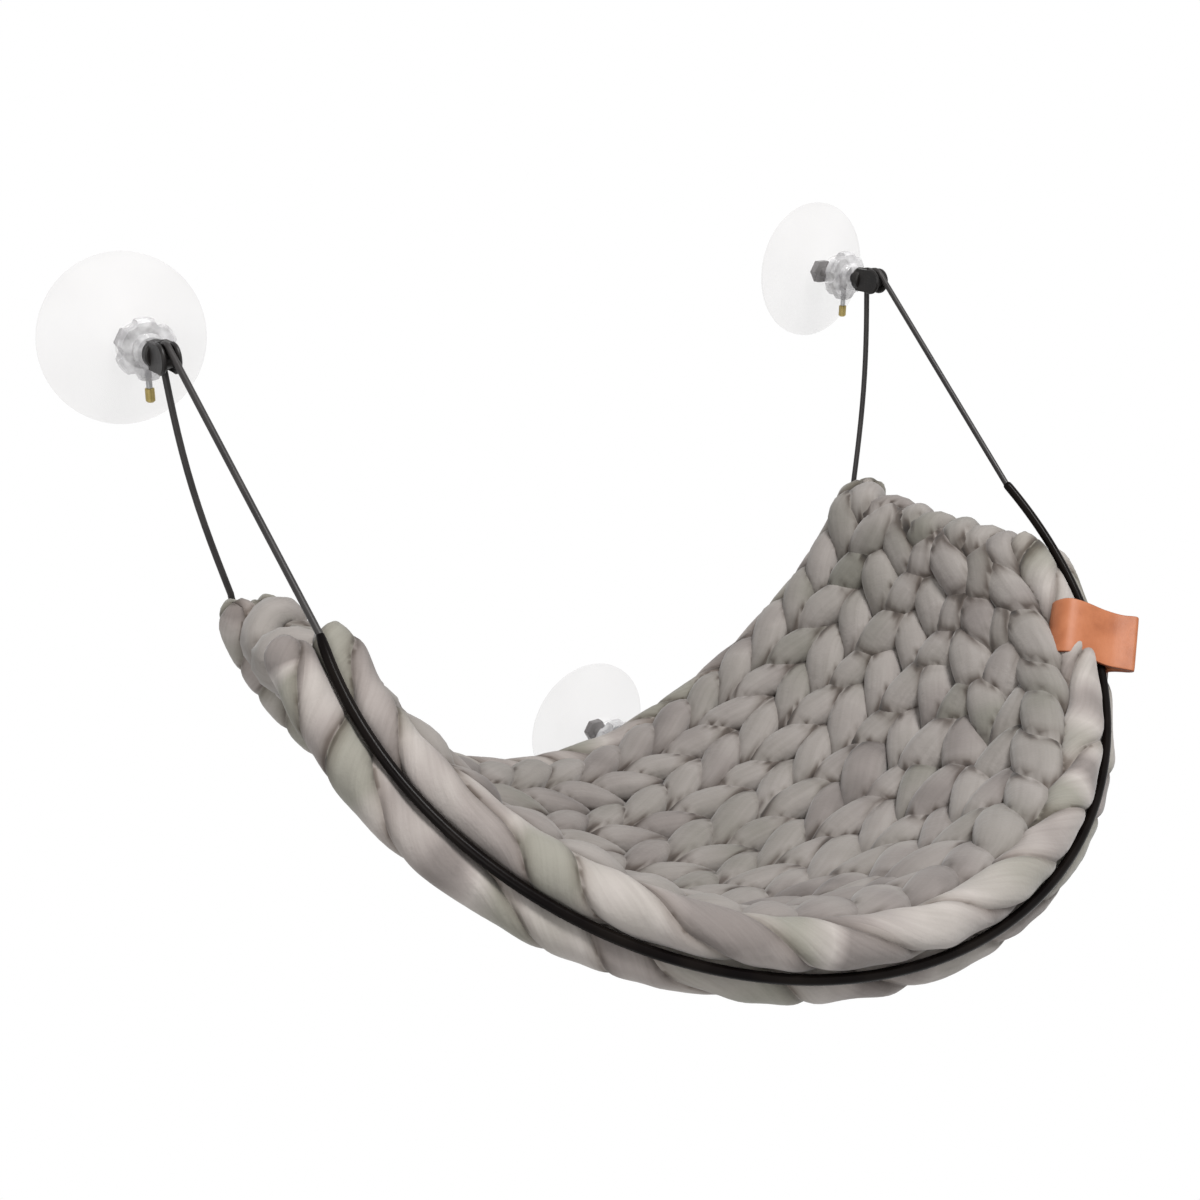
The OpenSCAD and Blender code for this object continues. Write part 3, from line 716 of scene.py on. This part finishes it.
def ramp_of(m, source, out, stops):
    """A colour ramp, read at a node's output."""
    r = m.node_tree.nodes.new("ShaderNodeValToRGB")
    set_stops(r.color_ramp, stops)
    link(m, source, out, r, "Fac")
    return r


def bumped(m, layers):
    """Chains bumps, each (node, output, strength, distance in metres), onto the shader."""
    last = None
    for n, out, strength, far in layers:
        b = node(m, "ShaderNodeBump", Strength=strength, Distance=far)
        link(m, n, out, b, "Height")
        if last:
            link(m, last, "Normal", b, "Normal")
        last = b
    link(m, last, "Normal", shader_of(m), "Normal")


def mottled(name, dark, pale, rough, scale, bump, far, metal=0.0, **more):
    """A moulded or drawn surface with faint blotches, uneven gloss and a fine grain."""
    m = new_material(name, pale, rough, metal, **more)
    place = node(m, "ShaderNodeTexCoord")
    blotch = noise_of(m, place, "Object", scale, detail=3)
    grain = noise_of(m, place, "Object", scale * 9, detail=2)
    colours = ramp_of(m, blotch, "Fac", [(0.35, dark), (0.65, pale)])
    link(m, colours, "Color", shader_of(m), "Base Color")
    gloss = node(m, "ShaderNodeMapRange")
    gloss.inputs["To Min"].default_value = max(rough - 0.08, 0.03)
    gloss.inputs["To Max"].default_value = min(rough + 0.1, 1)
    link(m, blotch, "Fac", gloss, "Value")
    link(m, gloss, "Result", shader_of(m), "Roughness")
    bumped(m, [(grain, "Fac", bump, far)])
    return m


# %% [markdown]
# ## Yarn
# The grey of a strand comes from three things added up: a slow noise through space, a noise along
# the strand, and the tone that was written on the mesh. One ramp turns the sum into greys, and a
# second ramp, read at the open share, paints shade into the creases, darker and browner. The mat
# gets a copy that is a shade deeper, with sharper seams: painted shade, since the mat lies in the
# sling's own shade and shows darker than its edgings.

# %% Yarn colour
yarn = new_material("stuffed_yarn", (0.4, 0.37, 0.34), 0.93, Sheen_Weight=0.22, Sheen_Roughness=0.5)
place = node(yarn, "ShaderNodeTexCoord")
drift = noise_of(yarn, place, "Object", 16, detail=1.5)
length = noise_of(yarn, place, "UV", 1.0, (0.02, 1.2, 1), detail=2)
mixer = maths(yarn, "ADD", (drift, "Fac"), (length, "Fac"))
TONE_SHARE = 0.60
shift = maths(yarn, "MULTIPLY_ADD", (attribute(yarn, "tone"), "Fac"), TONE_SHARE, (mixer, "Value"))
spread = node(yarn, "ShaderNodeMapRange")
spread.inputs["From Min"].default_value = 0.82
spread.inputs["From Max"].default_value = 1.80
link(yarn, shift, "Value", spread, "Value")
grey_stops = [
    (0.06, (0.27, 0.258, 0.220)),
    (0.30, (0.360, 0.332, 0.302)),
    (0.52, (0.430, 0.393, 0.366)),
    (0.76, (0.335, 0.298, 0.279)),
    (0.95, (0.22, 0.193, 0.180)),
]
# Painted shade: this ramp darkens and browns the yarn where its open share is low, in the creases.
crease_shade_stops = [
    (0.16, (0.16, 0.135, 0.115)),
    (0.46, (0.38, 0.345, 0.315)),
    (0.70, (0.80, 0.785, 0.77)),
    (0.90, (1.0, 1.0, 1.0)),
]
greys = ramp_of(yarn, spread, "Result", grey_stops)
crease = ramp_of(yarn, attribute(yarn, "open"), "Fac", crease_shade_stops)
shaded_greys = times(yarn, (greys, "Color"), (crease, "Color"))
ribs = noise_of(yarn, place, "UV", 1.0, (0.03, 22, 1), detail=2)
streaks = ramp_of(yarn, ribs, "Fac", [(0.30, (0.90, 0.895, 0.89)), (0.62, (1.0, 1.0, 1.0))])
worn = times(yarn, (shaded_greys, "Vector"), (streaks, "Color"))
link(yarn, worn, "Vector", shader_of(yarn), "Base Color")
print(len(grey_stops), "greys in the yarn")

# %% Yarn surface
puckers = noise_of(yarn, place, "UV", 1.0, (0.10, 5, 1), detail=3, rough=0.6)
fuzz = noise_of(yarn, place, "Object", 900, detail=2)
bumped(
    yarn,
    [(puckers, "Fac", 0.55, 0.0016), (ribs, "Fac", 0.35, 0.0006), (fuzz, "Fac", 0.25, 0.0004)],
)

# Painted shade: the mat's copy of the yarn is darker all over, for the sling's own shade, and its
# creases are painted darker still.
DEEPER = 0.70
mat_crease_shade_stops = [
    (0.15, (0.10, 0.08, 0.068)),
    (0.42, (0.34, 0.30, 0.275)),
    (0.64, (0.78, 0.765, 0.75)),
    (0.86, (1, 1, 1)),
]
deeper = yarn.copy()
for element in deeper.node_tree.nodes[greys.name].color_ramp.elements:
    element.color = [channel * DEEPER for channel in element.color[:3]] + [1]
set_stops(deeper.node_tree.nodes[crease.name].color_ramp, mat_crease_shade_stops)
bed.data.materials.append(deeper)
for obj in (front, back):
    obj.data.materials.append(yarn)
print(yarn.name, "and its deeper copy", deeper.name)

# %% [markdown]
# ## Hard and coated pieces
# None of these is a flat colour on the real thing: vinyl clouds, plated steel has darker patches,
# and a moulding never has one gloss all over. One recipe gives them all faint blotches, an uneven
# gloss and a fine grain, each with its own two colours. The clear pieces let light through.

# %% Hard materials
cable_coat = mottled(
    "cable_coat", (0.015, 0.013, 0.013), (0.028, 0.025, 0.024),
    rough=0.42, scale=60, bump=0.15, far=0.0002, Specular_IOR_Level=0.3,
)
tube_coat = mottled(
    "tube_coat", (0.003, 0.002, 0.002), (0.008, 0.006, 0.005),
    rough=0.22, scale=40, bump=0.1, far=0.0002, Specular_IOR_Level=0.05,
)
cable.data.materials.append(cable_coat)
tube.data.materials.append(tube_coat)
cup_vinyl = mottled(
    "cup_vinyl", (0.66, 0.62, 0.61), (0.78, 0.75, 0.74),
    rough=0.22, scale=25, bump=0.08, far=0.0003, Alpha=0.14,
)
nut_clear = mottled(
    "nut_clear", (0.50, 0.49, 0.50), (0.94, 0.93, 0.94),
    rough=0.10, scale=180, bump=0.25, far=0.0006, Alpha=0.5,
)
nylon = mottled(
    "nylon", (0.8, 0.8, 0.78), (0.9, 0.9, 0.88),
    rough=0.4, scale=60, bump=0.1, far=0.0002, Alpha=0.8,
)
zinc = mottled(
    "zinc", (0.03, 0.028, 0.03), (0.11, 0.105, 0.11),
    rough=0.35, scale=120, bump=0.2, far=0.0002, metal=1.0,
)
pin_steel = mottled(
    "pin_steel", (0.28, 0.28, 0.28), (0.42, 0.42, 0.42),
    rough=0.3, scale=120, bump=0.2, far=0.0002, metal=1.0,
)
brass = mottled(
    "brass", (0.26, 0.20, 0.075), (0.45, 0.36, 0.15),
    rough=0.35, scale=120, bump=0.2, far=0.0002, metal=1.0,
)
knob_black = mottled(
    "knob_black", (0.006, 0.005, 0.005), (0.016, 0.014, 0.013),
    rough=0.4, scale=90, bump=0.3, far=0.0003, Specular_IOR_Level=0.25,
)
alloy = mottled(
    "alloy", (0.42, 0.43, 0.44), (0.58, 0.59, 0.6),
    rough=0.4, scale=100, bump=0.2, far=0.0002, metal=1.0,
)

# %% Dress the solids
dressing = {
    "suction_cup": cup_vinyl,
    "thumb_nut": nut_clear,
    "washer": nylon,
    "stud": zinc,
    "lock_pin": pin_steel,
    "pin_grip": brass,
    "cable_knob": knob_black,
    "crimp_sleeve": alloy,
}
for name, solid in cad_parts.items():
    for key, m in dressing.items():
        if name.endswith(key):
            solid.data.materials.clear()
            solid.data.materials.append(m)
print(len(dressing), "finishes on the solids")

# %% [markdown]
# ## Leather
# The tag is tan hide with a soft cloudy dye, fine pores and faint pull marks along its length. Its
# cut edges show the paler, drier core, so a wave round the section finds them and tints them.

# %% Leather material
leather = new_material("leather", (0.5, 0.18, 0.08), 0.5, Specular_IOR_Level=0.35)
place = node(leather, "ShaderNodeTexCoord")
cloud = noise_of(leather, place, "Object", 55, detail=4)
hide_stops = [
    (0.3, (0.33, 0.105, 0.042)),
    (0.5, (0.42, 0.145, 0.062)),
    (0.72, (0.48, 0.18, 0.085)),
]
hide = ramp_of(leather, cloud, "Fac", hide_stops)
split = node(leather, "ShaderNodeSeparateXYZ")
link(leather, place, "UV", split, "Vector")
round_part = maths(leather, "MULTIPLY", (split, "Y"), 2 * math.pi)
wave = maths(leather, "SINE", (round_part, "Value"))
from_edge = maths(leather, "ABSOLUTE", (wave, "Value"))
edge_stops = [(0.0, (0.42, 0.30, 0.24)), (0.25, (0.62, 0.52, 0.46)), (0.5, (1, 1, 1))]
rim = ramp_of(leather, from_edge, "Value", edge_stops)
toned = times(leather, (hide, "Color"), (rim, "Color"))
link(leather, toned, "Vector", shader_of(leather), "Base Color")
pores = node(leather, "ShaderNodeTexVoronoi", Scale=1400.0)
pores.feature = "DISTANCE_TO_EDGE"
link(leather, place, "Object", pores, "Vector")
pull = noise_of(leather, place, "UV", 1.0, (0.25, 6, 1), detail=3)
bumped(leather, [(pull, "Fac", 0.25, 0.0006), (pores, "Distance", 0.35, 0.00025)])
tag.data.materials.append(leather)
print(len(bpy.data.materials), "materials")

# %% [markdown]
# ## The stage
# A pale floor well below the sling, an even sky and two large soft lamps. The white behind the
# object is seen by the camera and in reflections and clear pieces only, so it adds no light to the
# yarn.

# %% Floor
FLOOR_SIZE, FLOOR_HEIGHT = 60, -1.2
bpy.ops.mesh.primitive_plane_add(size=FLOOR_SIZE, location=(0, 0, FLOOR_HEIGHT))
floor = bpy.context.object
floor.name = "floor"


def white_where_seen(tree, plain, white, output):
    """Shows white to rays from the camera, a mirror or a lens, and plain to all others."""
    path = tree.nodes.new("ShaderNodeLightPath")
    seen = path.outputs["Is Camera Ray"]
    for kind in ("Is Glossy Ray", "Is Transmission Ray"):
        either = tree.nodes.new("ShaderNodeMath")
        either.operation = "MAXIMUM"
        tree.links.new(seen, either.inputs[0])
        tree.links.new(path.outputs[kind], either.inputs[1])
        seen = either.outputs[0]
    mix = tree.nodes.new("ShaderNodeMixShader")
    tree.links.new(seen, mix.inputs[0])
    tree.links.new(plain.outputs[0], mix.inputs[1])
    tree.links.new(white.outputs[0], mix.inputs[2])
    tree.links.new(mix.outputs[0], tree.nodes[output].inputs[0])


floor_mat = new_material("floor", (0.8, 0.8, 0.8), 0.9)
tree = floor_mat.node_tree
emit = tree.nodes.new("ShaderNodeEmission")
white_where_seen(tree, tree.nodes["Principled BSDF"], emit, "Material Output")
floor.data.materials.append(floor_mat)
print("floor at", FLOOR_HEIGHT, "m")

# %% Sky
SKY_STRENGTH = 0.30
world = bpy.data.worlds.new("studio")
bpy.context.scene.world = world
world.use_nodes = True
tree = world.node_tree
sky = tree.nodes["Background"]
sky.inputs["Color"].default_value = (1, 1, 1, 1)
sky.inputs["Strength"].default_value = SKY_STRENGTH
white = tree.nodes.new("ShaderNodeBackground")
white.inputs["Color"].default_value = (1, 1, 1, 1)
white_where_seen(tree, sky, white, "World Output")
print("sky at", SKY_STRENGTH)

# %% Lamps
LAMP_AIM = (0, -0.2, -0.2)


def lamp(name, place, power, size):
    """A square lamp at a place, turned towards the sling. Power in watts, size in metres."""
    data = bpy.data.lights.new(name, "AREA")
    data.energy = power
    data.size = size
    o = bpy.data.objects.new(name, data)
    o.location = place
    o.rotation_euler = (Vector(LAMP_AIM) - Vector(place)).to_track_quat("-Z", "Y").to_euler()
    bpy.context.scene.collection.objects.link(o)


lamp("key", (0.1, -1.1, 2.2), power=66, size=0.8)
lamp("fill", (-1.7, -1.3, 0.5), power=14, size=1.2)
print(len(bpy.data.lights), "lamps")
